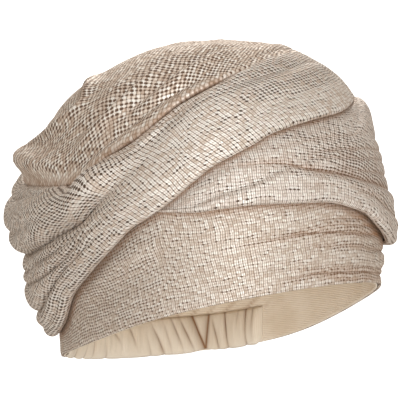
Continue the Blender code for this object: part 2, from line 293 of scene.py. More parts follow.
def jersey(name, light, mid, shade, rib_mm):
    """Cotton jersey: matt and a little cloudy, with wales that show as a faint rib in its tone and
    relief, and a soft nap that catches light at the edge."""
    material, tree, shader = new_material(name)
    thread = add_node(tree, "ShaderNodeUVMap", uv_map="thread").outputs[0]
    across = add_node(tree, "ShaderNodeSeparateXYZ", {0: thread}).outputs[0]
    rib = reckon(tree, "SINE", reckon(tree, "MULTIPLY", across, 2 * math.pi / (rib_mm * METRES)))
    uneven = reckon(tree, "MULTIPLY_ADD", rib, 0.12, noise(tree, thread, 45.0, 3.0))
    tones = add_node(tree, "ShaderNodeValToRGB", {0: uneven})
    tones.color_ramp.elements[0].position = 0.3
    tones.color_ramp.elements[0].color = linear(mid)
    tones.color_ramp.elements[1].position = 0.7
    tones.color_ramp.elements[1].color = linear(light)
    # Painted shade: the jersey darkens towards its shade colour in its wrinkles and gathers, and deeper
    # inside the cap, where the mesh marks it.
    crease_shade = add_node(tree, "ShaderNodeAttribute", attribute_name="crease_shade").outputs[2]
    colour = blend(tree, crease_shade, tones.outputs[0], linear(shade))
    relief = reckon(tree, "MULTIPLY_ADD", noise(tree, thread, 900.0, 2.0), 1.5, rib)
    bump = add_node(
        tree, "ShaderNodeBump", {"Height": relief, "Distance": 0.12 * METRES, "Strength": 0.7}
    )
    tree.links.new(colour, shader.inputs["Base Color"])
    tree.links.new(bump.outputs[0], shader.inputs["Normal"])
    shader.inputs["Roughness"].default_value = 0.82
    shader.inputs["Sheen Weight"].default_value = 0.25
    shader.inputs["Sheen Roughness"].default_value = 0.5
    return material


def round_weave(bearing, rise, reach):
    """Thread directions of cloth that goes straight round the head: along it, and up it."""
    return np.stack([np.radians(bearing) * reach, rise], -1)


# The lining's rib is drawn coarser than the real one, which would be too fine to show.
LINING_RIB = 1.3
LINING_SLACK = 0.35
RIB_DEPTH = 0.22
RIB_COUNT = 240
WRINKLE_DEPTH = 0.9
CASING_HEIGHT = 20.0
LINING_RIBS_FROM = 110.0
LINING_RIBS_TO = 125.0
lining_shares = np.concatenate([np.linspace(0, 0.25, 34), np.linspace(0.25, 1, 24)[1:]])
bearing, share = np.meshgrid(np.linspace(ROUND_FROM, ROUND_TO, 361), lining_shares, indexing="ij")
tape = rim(bearing) + (HEAD[-1].tape - rim(bearing)) * share
slack = LINING_SLACK * np.sin(np.radians(bearing * 9)) * np.sin(np.radians(tape * 4 + 40))
near_casing = smooth_step((bearing - LINING_RIBS_FROM) / 4)
near_casing = near_casing * smooth_step((LINING_RIBS_TO - bearing) / 2)
ribs = RIB_DEPTH * near_casing * np.cos(np.radians(bearing) * RIB_COUNT)
ribs = ribs * smooth_step((26 - tape + rim(bearing)) / 8)
above = tape - rim(bearing) - CASING_HEIGHT
drawn = smooth_step((above + 1) / 2) * smooth_step((16 - above) / 12)
drawn = drawn * smooth_step((bearing - 118) / 8) * smooth_step((242 - bearing) / 8)
phase = bearing * 26 + above * 17 + 60 * np.sin(np.radians(bearing * 7))
wrinkle = np.exp(-((np.sin(np.radians(phase)) / 0.28) ** 2))
ribs = ribs - WRINKLE_DEPTH * drawn * wrinkle
points = lifted(HEAD, bearing, tape, slack * smooth_step(tape / 40 + 0.6) * 0.6 + ribs - LINING_DEPTH)
# Painted shade: the lining's colour darkens deeper inside the cap and in the wrinkles where the casing
# draws it in.
lining = cloth_piece(
    "jersey_lining",
    points,
    round_weave(bearing, tape, MEAN_REACH)[..., ::-1],
    LINING_WALL,
    jersey("beige_jersey", light="#f2e5d2", mid="#e4d3bb", shade="#b8946f", rib_mm=LINING_RIB),
    {"crease_shade": np.clip(0.25 * smooth_step((tape - 25) / 60) + 0.75 * drawn * wrinkle, 0, 1)},
)
dress(
    lining, "lining",
)

# Elastic casing
# A strip of the same jersey sewn over wide elastic inside the nape. The elastic draws it
# into uneven gathers, pinched along the seams at its top and bottom and full between them.
# Its lower edge hangs in small scallops between the gathers.
CASING_START = 124.0
CASING_END = 236.0
# A gather's bearing, how far it slants from bottom to top, its depth and its width in degrees.
Gather = namedtuple("Gather", "bearing slant depth width")
CASING_GATHERS = (
    Gather(127.5, 0.5, 0.7, 0.55),
    Gather(130.7, 0.4, 1.6, 0.55),
    Gather(134.5, -1.0, 0.5, 0.55),
    Gather(138.8, 1.5, 1.6, 0.55),
    Gather(143.2, 3.0, 1.2, 0.55),
    Gather(146.3, -1.2, 1.8, 1.1),
    Gather(149.5, 5.0, 1.9, 1.2),
    Gather(154.0, 6.0, 1.2, 0.9),
    Gather(157.5, 5.0, 1.0, 0.55),
    Gather(161.5, 4.0, 0.5, 0.7),
    Gather(165.5, 6.0, 1.2, 0.8),
    Gather(170.0, 4.5, 0.5, 0.55),
    Gather(175.5, 5.0, 0.9, 0.55),
    Gather(182.5, 7.0, 1.2, 0.55),
    Gather(189.0, 3.0, 0.8, 0.55),
    Gather(194.5, -2.0, 1.4, 0.55),
    Gather(200.0, -1.0, 1.0, 0.55),
    Gather(206.5, -3.0, 1.5, 0.9),
    Gather(213.0, 1.0, 0.9, 0.55),
    Gather(219.0, -2.0, 1.5, 0.9),
    Gather(226.0, 1.0, 1.0, 0.55),
    Gather(231.5, 0.0, 0.8, 0.55),
)
CASING_SEAM_DEPTH = 2.8
CASING_PUFF = 4.2
CASING_HANG = 1.8
# This rib too is drawn coarser than the real one.
CASING_RIB = 0.9
bearing, share = np.meshgrid(
    np.linspace(CASING_START, CASING_END, 449), np.linspace(0, 1, 19), indexing="ij"
)
ends = smooth_step((bearing - CASING_START) / 3) * smooth_step((CASING_END - bearing) / 3)
fullness = np.sin(np.pi * share) ** 0.6 * ends
cushion = np.ones(bearing.shape)
# Painted shade in the gathers: dark in each fold and spreading further on one side of it, as on the
# shaded side of a puff.
line = np.zeros(bearing.shape)
for gather in CASING_GATHERS:
    turned = bearing - gather.bearing - gather.slant * (share - 0.5)
    away = np.abs(turned)
    shadow = np.where(turned > 0, 1.7, 0.7) * gather.width
    fade = 0.5 * smooth_step((1.9 - gather.depth) / 0.6)
    depth = 0.5 * gather.depth * (1 - fade + fade * np.cos(4 * share + 1.7 * gather.bearing))
    cushion *= 1 - np.minimum(depth, 0.95) * np.exp(-away / (2 * gather.width))
    gather_shade = 0.45 * np.exp(-((away / shadow) ** 1.5)) + 0.55 * np.exp(-((away / 0.45) ** 1.5))
    line = np.maximum(line, depth * gather_shade)
ripple = 0.16 * np.sin(np.radians(bearing * 131)) + 0.14 * np.sin(np.radians(bearing * 83 + share * 60))
puff = (0.3 + CASING_PUFF * cushion + ripple) * fullness
hang = CASING_HANG * cushion * (1 - share) ** 2 * ends
tape = rim(bearing) + 1 - hang + CASING_HEIGHT * share
points = lifted(HEAD, bearing, tape, -CASING_SEAM_DEPTH - np.maximum(puff, -0.15))
casing = cloth_piece(
    "gathered_casing",
    points,
    round_weave(bearing, CASING_HEIGHT * share, MEAN_REACH),
    LINING_WALL,
    jersey("gathered_jersey", light="#f1e5d3", mid="#e8d9c3", shade="#8c643f", rib_mm=CASING_RIB),
    {"crease_shade": np.clip(1.35 * line, 0, 1)},
)
dress(
    casing, "elastic_casing",
)

# Brow band
# The inner cover of champagne mesh knit, which lies flat and taut round the forehead and
# runs down to the nape. Its edge is turned in at the rim, and it creases where it is tight.
FORM = (
    Level(-40, -40, 96.5, 97, 78, 79.5),
    Level(-20, -20, 97.5, 98.3, 78.7, 80.2),
    Level(0, 0, 98, 100, 79, 81),
    Level(20, 20, 98, 107, 78.5, 84),
    Level(40, 40, 99, 113, 79, 87),
    Level(60, 60, 99, 117, 79, 90),
    Level(80, 80, 96, 117, 76.5, 90),
    Level(100, 99.5, 91, 109, 73, 84.5),
    Level(118, 116, 84, 98, 67, 76),
    Level(136, 130.5, 74, 81, 59, 63),
    Level(154, 141.4, 61, 61, 48, 47),
    Level(172, 149.2, 44, 41, 35, 32.5),
    Level(190, 153.1, 25, 23, 20, 18.5),
    Level(213, 154.6, 0, 0, 0, 0),
)
# A wrap at a bearing in degrees from the front: where its lower edge lies, the radius of its
# roll, how far its hem and body stand off the form, how far below its top it starts to dip
# under the next layer, and how far off the form it lies there.
Edge = namedtuple("Edge", "bearing lower roll hem body dip tuck")
MIDDLE = (
    Edge(-66, 70, 0.2, 2.2, 2.2, 14, 2.2),
    Edge(-60, 71, 0.3, 2.4, 2.4, 14, 2.2),
    Edge(-53, 71, 0.8, 3.6, 3.8, 14, 2.2),
    Edge(-46, 71, 1.9, 6.0, 5.0, 16, 2.2),
    Edge(-37, 73, 2.7, 7.8, 5.8, 20, 2.2),
    Edge(-22, 75, 2.8, 8.0, 6.0, 24, 2.2),
    Edge(-6, 75, 2.8, 8.2, 6.0, 24, 1.8),
    Edge(10, 69, 2.8, 8.4, 5.5, 20, 1.4),
    Edge(20, 59, 2.8, 8.8, 6.0, 14, 1.4),
    Edge(32, 50, 2.9, 8.0, 5.6, 7, 1.4),
    Edge(50, 47, 2.6, 6.8, 4.8, 5, 1.4),
    Edge(70, 46, 2.6, 7.0, 5.0, 7, 1.4),
    Edge(95, 44, 2.8, 8.6, 5.5, 14, 1.8),
    Edge(130, 40, 2.8, 8.0, 5.5, 18, 2.2),
    Edge(152, 40, 1.4, 5.2, 3.6, 14, 2.2),
    Edge(161, 42, 0.3, 2.4, 2.4, 14, 2.2),
    Edge(180, 44, 0.2, 2.2, 2.2, 14, 2.2),
)
SASH = (
    Edge(-180, 22, 3.4, 8.9, 7.5, 14, 2.2),
    Edge(-155, 2, 3.4, 8.9, 8.0, 4, 2.2),
    Edge(-130, -5, 3.4, 8.9, 8.5, 1.6, 2.2),
    Edge(-117, 3, 3.4, 8.9, 8.5, 1.6, 2.2),
    Edge(-103, 22, 3.4, 8.9, 8.5, 2.4, 2.2),
    Edge(-91, 34, 3.4, 9.2, 9.0, 6, 2.2),
    Edge(-75, 51, 3.0, 9.8, 10.0, 10, 2.2),
    Edge(-65, 63, 2.8, 10.0, 10.5, 11, 2.2),
    Edge(-57, 71, 2.8, 10.0, 10.5, 12, 2.2),
    Edge(-46, 86, 2.6, 9.6, 10.5, 12, 2.2),
    Edge(-40, 94, 2.4, 9.2, 10.0, 10, 2.2),
    Edge(-28, 105, 2.2, 8.8, 9.0, 6, 2.2),
    Edge(-20, 112, 2.0, 8.4, 8.0, 3, 3.0),
    Edge(-4, 119, 1.8, 7.8, 7.5, 2, 3.6),
    Edge(10, 123, 1.6, 7.0, 7.2, 2, 3.8),
    Edge(30, 130, 0.8, 5.4, 6.2, 2, 3.8),
    Edge(55, 133, 0.7, 5.2, 6.0, 2, 3.4),
    Edge(90, 117, 1.8, 7.8, 7.0, 4, 2.2),
    Edge(120, 94, 2.4, 9.2, 7.5, 6, 2.2),
    Edge(150, 60, 2.8, 10.4, 8.0, 10, 2.2),
    Edge(165, 40, 3.0, 10.6, 8.0, 12, 2.2),
)
CROWN = (
    Edge(-180, 106, 1.3, 6.6, 6.5, 0, 0),
    Edge(-155, 88, 1.2, 7.6, 6.5, 0, 0),
    Edge(-128, 80, 1.2, 7.8, 6.5, 0, 0),
    Edge(-107, 81, 1.1, 6.8, 6.5, 0, 0),
    Edge(-92, 84, 1.0, 5.9, 6.5, 0, 0),
    Edge(-80, 98, 1.0, 5.7, 6.5, 0, 0),
    Edge(-68, 109, 1.0, 5.7, 6.5, 0, 0),
    Edge(-53, 130, 1.0, 5.7, 6.5, 0, 0),
    Edge(-39, 143, 1.0, 5.7, 6.5, 0, 0),
    Edge(-26, 153, 0.9, 6.0, 6.5, 0, 0),
    Edge(-5, 164, 0.7, 6.2, 6.5, 0, 0),
    Edge(18, 169, 0.7, 6.2, 6.5, 0, 0),
    Edge(45, 168, 0.7, 6.2, 6.5, 0, 0),
    Edge(75, 160, 1.1, 6.0, 6.5, 0, 0),
    Edge(110, 145, 1.2, 6.2, 6.5, 0, 0),
    Edge(145, 126, 1.3, 6.6, 6.5, 0, 0),
)
MIDDLE_START = -66.0
MIDDLE_END = 181.0
BROW_OVERLAP = 6.0
ROLL_TURN = 165.0
ROLL_REACH = 14.0
FOLD_START = 8.0
OVERLAP = 12.0
BROW_EASE = 0.12
WRAP_EASE = 0.22
HEM_SEAM_RISE = 4.5
HEM_SEAM_WIDTH = 0.7

# A fold follows a path of bearings, heights up the cloth and its own height there, which is
# negative for a groove. A power of 2 makes it round, and 1 makes it sharp.
Fold = namedtuple("Fold", "path width power")
BROW_FOLDS = (
    Fold(((-105, 12, -1.0), (-81, 27, -1.8), (-62, 40, -1.6), (-48, 52, 0)), 8, 2),
    Fold(((-120, 4, 0), (-104, 14, 0.7), (-84, 34, 1.2), (-66, 48, 0.8), (-50, 60, 0)), 6, 2),
    Fold(((-64, 20, 0), (-50, 27, -0.5), (-36, 34, -0.4), (-25, 38, 0)), 3, 2),
    Fold(((-14, 66, 0), (-3, 66, -0.7), (9, 66, -1.0), (25, 65, -1.0), (60, 56, -0.7),
          (85, 50, 0)), 1.2, 1.3),
    Fold(((-18, 59, 0), (-10, 61, -0.7), (0, 63, -1.0), (24, 60, -1.2), (60, 50, -0.9),
          (90, 44, 0)), 1.2, 1.3),
    Fold(((-34, 53, 0), (-25, 55, -0.8), (-15, 58, -1.5), (-3, 59, -1.9), (36, 54, -1.8),
          (95, 38, 0)), 1.4, 1.2),
    Fold(((-12, 53, 0), (-6, 52, -0.7), (7, 51, -1.1), (25, 47, -1.2), (55, 40, -0.9),
          (85, 32, 0)), 1.2, 1.3),
    Fold(((-18, 40, 0), (-12, 40, -0.6), (0, 40, -0.9), (20, 38, -0.9), (50, 31, -0.7),
          (75, 22, 0)), 1.1, 1.3),
    Fold(((-22, 34, 0), (-14, 35, -1.2), (-6, 37, -1.7), (5, 37, -1.8), (27, 34, -1.7),
          (85, 14, 0)), 1.3, 1.2),
    Fold(((-8, 34, 0), (-2, 34, -0.8), (9, 33, -1.2), (25, 31, -1.2), (55, 22.5, -0.9),
          (80, 12, 0)), 1.1, 1.3),
    Fold(((-16, 46, 0), (-4, 46, 0.8), (22, 43, 1.0), (60, 35, 0.9), (95, 25, 0)), 3.2, 2),
    Fold(((-16, 62, 0), (0, 62.5, 0.6), (24, 57, 0.8), (60, 47, 0.8), (95, 36, 0)), 2.4, 2),
    Fold(((110, -2, 0), (135, -9, 0.8), (170, -12, 0.9), (215, -8, 0)), 5, 2),
    Fold(((100, 12, 0), (135, 4, -0.8), (175, 0, -0.9), (215, 2, 0)), 3, 2),
)


def round_head(rows, name, bearing):
    """One column of a table of bearings, repeated past both ends so that it closes."""
    places = [row.bearing for row in rows]
    values = [getattr(row, name) for row in rows]
    places = [place - 360 for place in places] + places + [place + 360 for place in places]
    return through(places, values * 3, bearing)


def fold_lift(folds, bearing, tape, stretch_steps=6):
    """Sum of the folds' ridges and grooves at places on the form."""
    points = on_form(FORM, bearing, tape)
    total = np.zeros(np.shape(bearing))
    for fold in folds:
        stops = np.arange(len(fold.path))
        along = np.linspace(0, stops[-1], stretch_steps * stops[-1] + 1)
        line_bearing, line_tape, line_height = [
            through(stops, [stop[i] for stop in fold.path], along) for i in range(3)
        ]
        line = on_form(FORM, line_bearing, line_tape)
        away = np.full(total.shape, np.inf)
        height = np.zeros(total.shape)
        for i in range(len(line) - 1):
            run = line[i + 1] - line[i]
            share = np.clip((points - line[i]) @ run / (run @ run), 0, 1)
            gap = np.linalg.norm(points - line[i] - share[..., None] * run, axis=-1)
            nearer = gap < away
            away = np.where(nearer, gap, away)
            here = line_height[i] + (line_height[i + 1] - line_height[i]) * share
            height = np.where(nearer, here, height)
        total += height * np.exp(-((away / fold.width) ** fold.power))
    return total


NARROW_FOLD = 2.0
FULL_PINCH = 1.6


def pinch(folds, bearing, tape):
    """How deep each place lies in a narrow groove, from 0 to 1."""
    narrow = [fold for fold in folds if fold.width < NARROW_FOLD]
    if not narrow:
        return np.zeros(np.shape(bearing))
    return np.clip(-fold_lift(narrow, bearing, tape) / FULL_PINCH, 0, 1)


def pulled_rows(bearing, tape, spacing):
    """Rows along the wrap where the pulled knit opens in turn, a little uneven in height."""
    waver = 0.9 * np.sin(np.radians(bearing * 3.1)) + 0.7 * np.sin(np.radians(bearing * 7.3) + tape / 9)
    return 0.5 + 0.5 * np.sin(2 * np.pi * tape / spacing + waver)


def row_strain(rows_open):
    """How far the knit is strained in those rows, and how closely it lies between them."""
    return 0.95 * rows_open**2 - 0.1


def ease(bearing, tape, amount):
    """Slack of cloth that no fold takes up: long shallow waves that run along the wrap."""
    first = np.sin(tape / 3.1 + 1.7 * np.sin(np.radians(bearing * 2)) + 0.8)
    second = np.sin(tape / 5.3 - np.radians(bearing * 3) + 2.1)
    third = np.sin(tape / 1.9 + np.radians(bearing * 5) + 0.3) * np.sin(np.radians(bearing * 4) + 1)
    return amount * (0.5 * first + 0.6 * second + 0.35 * third)


def vectors(tree, operation, *values):
    """What a Vector Math node makes of vectors and sockets."""
    return add_node(tree, "ShaderNodeVectorMath", dict(enumerate(values)), operation=operation).outputs[0]


def rising(tree, value, low, high, top=1.0):
    """A smooth rise from 0 where the value is low to top where it is high."""
    return add_node(
        tree,
        "ShaderNodeMapRange",
        {"Value": value, "From Min": low, "From Max": high, "To Max": top},
        interpolation_type="SMOOTHSTEP",
    ).outputs[0]


def luck(tree, cell):
    """A random number for each cell."""
    return add_node(tree, "ShaderNodeTexWhiteNoise", {"Vector": cell}, noise_dimensions="2D").outputs[0]


def mesh_knit(
    name, light, mid, shade, slot, wale_mm, course_mm, openness, widest, contrast, line_share, row_share,
    stagger, slot_shape, split,
):
    """Open mesh knit of foil-wrapped yarn. Bright loops stand in wales, with a thin brown line between
    them and a fainter one down each. Squarish dark slots open at the loops' corners where the cloth
    is pulled, and the foil glints loop by loop. Wales and courses are drawn somewhat coarser than
    the real ones, so that they show."""
    slot_reach, slot_rim, slots_shut = 0.42, 0.12, 1.2
    chance_weight, row_weight, row_relief = 0.8, 1.6, 0.7
    highlight_streak_weight, sparkle_weight, glint_weight = 0.3, 0.8, 0.7 * contrast
    middle = 0.5 * (highlight_streak_weight + sparkle_weight + glint_weight)
    material, tree, shader = new_material(name)
    thread = add_node(tree, "ShaderNodeUVMap", uv_map="thread").outputs[0]
    # Cells of one loop each, that wander a little from a strict grid.
    drift = add_node(
        tree, "ShaderNodeTexNoise", {"Vector": thread, "Scale": 60.0, "Detail": 2.0, "Roughness": 0.6}
    )
    shift = vectors(tree, "SUBTRACT", drift.outputs[1], (0.5, 0.5, 0.5))
    wander = vectors(tree, "MULTIPLY", shift, (0.003, 0.003, 0.003))
    placed = vectors(tree, "ADD", thread, wander)
    loops_a_metre = (1 / (wale_mm * METRES), 1 / (course_mm * METRES), 0)
    wale = add_node(tree, "ShaderNodeSeparateXYZ", {0: vectors(tree, "MULTIPLY", placed, loops_a_metre)})
    number = reckon(tree, "FLOOR", wale.outputs[0])
    lag = add_node(tree, "ShaderNodeTexWhiteNoise", {"W": number}, noise_dimensions="1D")
    late = reckon(tree, "MULTIPLY_ADD", lag.outputs[0], stagger, wale.outputs[1])
    cells = add_node(tree, "ShaderNodeCombineXYZ", {0: wale.outputs[0], 1: late}).outputs[0]
    loop = vectors(tree, "FLOOR", cells)
    # Painted highlights: a random glint for each loop, streaks of highlight along the wales and fine
    # sparkle, all painted into the colour. The glint also sets the loops' roughness and relief.
    glint = luck(tree, loop)
    highlight_streak = noise(tree, vectors(tree, "MULTIPLY", loop, (0.5, 0.12, 0)), 1.0, 2.0)
    row = noise(tree, vectors(tree, "MULTIPLY", cells, (0.06, 0.7, 0)), 1.0, 1.0)
    sparkle = noise(tree, vectors(tree, "MULTIPLY", thread, (1, 0.5, 0)), 1500.0, 1.0)
    # The loop itself, with a painted highlight on its rounded middle and painted shade at its rim, and
    # the lines beside it, down it and between the courses.
    centred = vectors(tree, "SUBTRACT", vectors(tree, "FRACTION", cells), (0.5, 0.5, 0))
    off = add_node(tree, "ShaderNodeVectorMath", {0: centred}, operation="LENGTH").outputs[1]
    bead_highlight = add_node(
        tree,
        "ShaderNodeMapRange",
        {"Value": off, "From Min": 0.1, "From Max": 0.5, "To Min": 0.09, "To Max": -0.09},
    ).outputs[0]
    parts = add_node(tree, "ShaderNodeSeparateXYZ", {0: vectors(tree, "ABSOLUTE", centred)})
    edge_line = rising(tree, parts.outputs[0], 0.34, 0.47)
    legs_line = rising(tree, parts.outputs[0], 0.16, 0.03, split)
    gap = reckon(tree, "MAXIMUM", edge_line, legs_line)
    course = rising(tree, parts.outputs[1], 0.24, 0.5)
    # Slots at the loops' corners, wider where the cloth is strained.
    strain = add_node(tree, "ShaderNodeAttribute", attribute_name="strain").outputs[2]
    corners = vectors(tree, "ADD", cells, (0.5, 0.5, 0))
    chance = luck(tree, vectors(tree, "FLOOR", corners))
    around = vectors(tree, "SUBTRACT", vectors(tree, "FRACTION", corners), (0.5, 0.5, 0))
    reach = vectors(tree, "ABSOLUTE", vectors(tree, "MULTIPLY", around, (*slot_shape, 0)))
    sides = add_node(tree, "ShaderNodeSeparateXYZ", {0: reach})
    away = reckon(tree, "SMOOTH_MAX", sides.outputs[0], sides.outputs[1], slot_rim)
    pull = reckon(tree, "ADD", strain, openness - slots_shut)
    picked = reckon(tree, "MULTIPLY_ADD", chance, chance_weight, pull)
    opened = reckon(tree, "MULTIPLY_ADD", row, row_weight, picked)
    edge = reckon(tree, "MULTIPLY", reckon(tree, "MINIMUM", opened, widest), slot_reach)
    hole = rising(tree, reckon(tree, "SUBTRACT", edge, away), 0.0, slot_rim)
    # Tone, from the dull foil of some loops to the painted white glint of others.
    base = reckon(tree, "MULTIPLY_ADD", highlight_streak, highlight_streak_weight, bead_highlight)
    lively = reckon(tree, "MULTIPLY_ADD", sparkle, sparkle_weight, base)
    shine = reckon(tree, "MULTIPLY_ADD", glint, glint_weight, lively)
    tones = add_node(tree, "ShaderNodeValToRGB", {0: shine})
    ramp = tones.color_ramp
    ramp.elements[0].position = middle - 0.26
    ramp.elements[0].color = linear(mid)
    ramp.elements[1].position = middle + 0.25
    ramp.elements[1].color = linear("#fbf6ee")
    ramp.elements.new(middle + 0.04).color = linear(light)
    between = blend(tree, reckon(tree, "MULTIPLY", gap, line_share), tones.outputs[0], linear(shade))
    ribbed = blend(tree, reckon(tree, "MULTIPLY", course, row_share), between, linear(shade))
    holed = blend(tree, hole, ribbed, linear(slot))
    # Painted shade, warm like light bounced between the layers, where the mesh marks creases, under-laps
    # and the undersides of rolled edges.
    crease_shade = add_node(tree, "ShaderNodeAttribute", attribute_name="crease_shade").outputs[2]
    shaded_in_creases = blend(tree, crease_shade, holed, linear("#ad8260"))
    low, high = middle - 0.3, middle + 0.3
    foil = add_node(
        tree,
        "ShaderNodeMapRange",
        {"Value": shine, "From Min": low, "From Max": high, "To Min": 0.60, "To Max": 0.38},
    ).outputs[0]
    sunk = reckon(tree, "MULTIPLY_ADD", course, row_relief, reckon(tree, "ADD", hole, gap))
    height = reckon(tree, "SUBTRACT", glint, sunk)
    bump = add_node(tree, "ShaderNodeBump", {"Height": height, "Distance": 0.3 * METRES, "Strength": 0.6})
    tree.links.new(shaded_in_creases, shader.inputs["Base Color"])
    tree.links.new(foil, shader.inputs["Roughness"])
    tree.links.new(bump.outputs[0], shader.inputs["Normal"])
    shader.inputs["Metallic"].default_value = 0.45
    shader.inputs["Specular Tint"].default_value = linear("#f1e3d4")
    shader.inputs["Sheen Weight"].default_value = 0.05
    shader.inputs["Sheen Tint"].default_value = linear("#e6d2be")
    return material


def slanting_weave(points, lower_row, slant_share=0.85, window=25, opened=0.0, shear=0.0):
    """Thread directions of a wrap: courses along its lower edge, wales square to it or sheared."""
    edge = points[:, lower_row]
    steps = np.linalg.norm(np.diff(edge, axis=0), axis=1)
    edge_run = np.concatenate([[0], np.cumsum(steps)])
    slope = np.gradient(edge[:, 2]) / np.maximum(np.gradient(edge_run), 1e-6)
    stretch = 1 + np.atleast_1d(opened) * np.ones(len(points))
    along = np.concatenate([[0], np.cumsum(steps / stretch[1:])])
    padded = np.concatenate([slope[-window:], slope, slope[:window]])
    wide = 2 * window + 1
    kernel = np.hanning(wide)
    slope = np.convolve(padded, kernel / kernel.sum(), mode="valid") * slant_share
    lean = np.arcsin(np.clip(slope, -0.95, 0.95))[:, None]
    rises = np.linalg.norm(np.diff(points, axis=1), axis=2)
    up = np.concatenate([np.zeros((len(points), 1)), np.cumsum(rises, axis=1)], axis=1)
    spread = np.pad(up, ((window, window), (0, 0)), mode="edge")
    up = sum(spread[turn : turn + len(up)] for turn in range(wide)) / wide
    up = up - up[:, lower_row : lower_row + 1]
    up = up / stretch[:, None]
    run = along[:, None] + up * (np.sin(lean) + shear * np.cos(lean))
    return np.stack([run, up * np.cos(lean)], -1)


def brow_top(bearing):
    """The brow band ends under whichever wrap is lower."""
    under_middle = round_head(MIDDLE, "lower", np.clip(bearing, MIDDLE_START, MIDDLE_END))
    return np.minimum(under_middle, round_head(SASH, "lower", bearing)) + BROW_OVERLAP


BROW_ROWS = 100
BROW_ROW_SPACING = 4.4
bearing, share = np.meshgrid(
    np.linspace(ROUND_FROM, ROUND_TO, 361), np.linspace(0, 1, BROW_ROWS), indexing="ij"
)
lower = rim(bearing)
tape = lower + (brow_top(bearing) - lower) * share
under = smooth_step((tape - brow_top(bearing) + BROW_OVERLAP + 5) / 5)
turned_in = -0.5 * np.exp(-(((tape - lower) / 1.2) ** 2))
lift = fold_lift(BROW_FOLDS, bearing, tape) + ease(bearing, tape, BROW_EASE)
pinched = pinch(BROW_FOLDS, bearing, tape)
taut = smooth_step((bearing + 8) / 30)
rows_open = pulled_rows(bearing, tape + 0.12 * bearing, BROW_ROW_SPACING)
lift = lift - 0.35 * taut * rows_open * smooth_step((100 - bearing) / 30)
pulled = 0.85 * pinched + taut * row_strain(rows_open) + 0.58 * smooth_step((-28 - bearing) / 60)
lift = lift * smooth_step((tape - lower) / 5) * (1 - under) + turned_in
points = lifted(FORM, bearing, tape, lift)
# Painted shade where the band runs under the wraps and in its narrow grooves.
brow = cloth_piece(
    "brow_band_knit",
    points,
    slanting_weave(points, 0),
    COVER_WALL,
    mesh_knit(
        "champagne_mesh_knit_brow",
        light="#eadfd4", mid="#cab7a6", shade="#806c5b", slot="#6f5a49",
        wale_mm=2.2, course_mm=1.6, openness=0.20, widest=0.78, contrast=0.50,
        line_share=0.66, row_share=0.14, stagger=0.06, slot_shape=(0.9, 1.15), split=0.75,
    ),
    {"crease_shade": np.clip(0.5 * under + 0.45 * pinched, 0, 1), "strain": pulled},
)
dress(
    brow, "brow_band",
)

# Middle wrap
# A wrap of the same knit that comes out from under the sash at the right temple, crosses
# the forehead and swings down round the left side. Its edge is rolled under and stands off.
MIDDLE_FOLDS = (
    Fold(((-40, 92, 0), (-30, 95, -0.9), (-20, 96, -1.5), (-10, 92, -1.9), (5, 88, -2.1),
          (18, 83, -2.1), (38, 76, -1.8), (60, 68, -1.2), (90, 62, 0)), 1.5, 1.2),
    Fold(((-34, 88, 0), (-18, 90, 1.0), (-8, 86, 1.4), (6, 82, 1.7), (20, 77, 1.7), (45, 70, 1.5),
          (80, 62, 0)), 4.5, 2),
    Fold(((26, 118, 1.5), (38, 123, 3.6), (50, 125, 4.2), (62, 122, 4.0), (75, 116, 3.5),
          (110, 96, 0)), 9, 2),
    Fold(((22, 66, 0), (36, 61, 2.2), (50, 59, 3.0), (64, 57, 2.6), (85, 54, 0)), 7, 2),
    Fold(((-12, 101, 0), (-7, 101, -0.6), (5, 102, -0.8), (24, 101, -0.9), (45, 97, -0.8),
          (70, 92, 0)), 1.1, 1.4),
    Fold(((-12, 98, 0), (-8, 98, -0.5), (6, 97, -0.7), (21, 96, -0.8), (45, 91, -0.7),
          (75, 86, 0)), 1.1, 1.4),
    Fold(((-12, 84, 0), (-9, 84, -0.6), (-1, 83, -0.6), (3, 82.5, 0)), 0.9, 1.4),
    Fold(((0, 93, 0), (5, 92, -0.7), (23, 88, -1.0), (45, 84, -1.0), (80, 79, 0)), 1.2, 1.4),
    Fold(((0, 83, 0), (6, 81, -0.6), (16, 75, -1.0), (25, 68, -1.1), (45, 60, -1.0),
          (80, 54, 0)), 1.3, 1.4),
    Fold(((14, 110, 0), (28, 107, -0.8), (50, 103, -1.2), (80, 98, -1.0), (115, 80, 0)), 2.0, 1.4),
    Fold(((-26, 101, 0), (-14, 106, -0.5), (0, 109, -0.6), (16, 110, -0.5), (30, 112, 0)), 1.3, 1.4),
    Fold(((60, 92, 0), (90, 88, 1.2), (120, 74, 1.3), (150, 56, 0)), 5, 2),
    Fold(((70, 74, 0), (100, 70, -1.2), (130, 60, -1.3), (155, 50, 0)), 3, 1.6),
    Fold(((80, 58, 0), (110, 54, 1.0), (140, 48, 0.8), (160, 45, 0)), 4, 2),
)


def middle_top(bearing):
    """The middle wrap passes under the sash, and both its ends lie wholly under it."""
    narrowest = round_head(MIDDLE, "lower", bearing) + 4.0
    return np.maximum(round_head(SASH, "lower", bearing), narrowest)


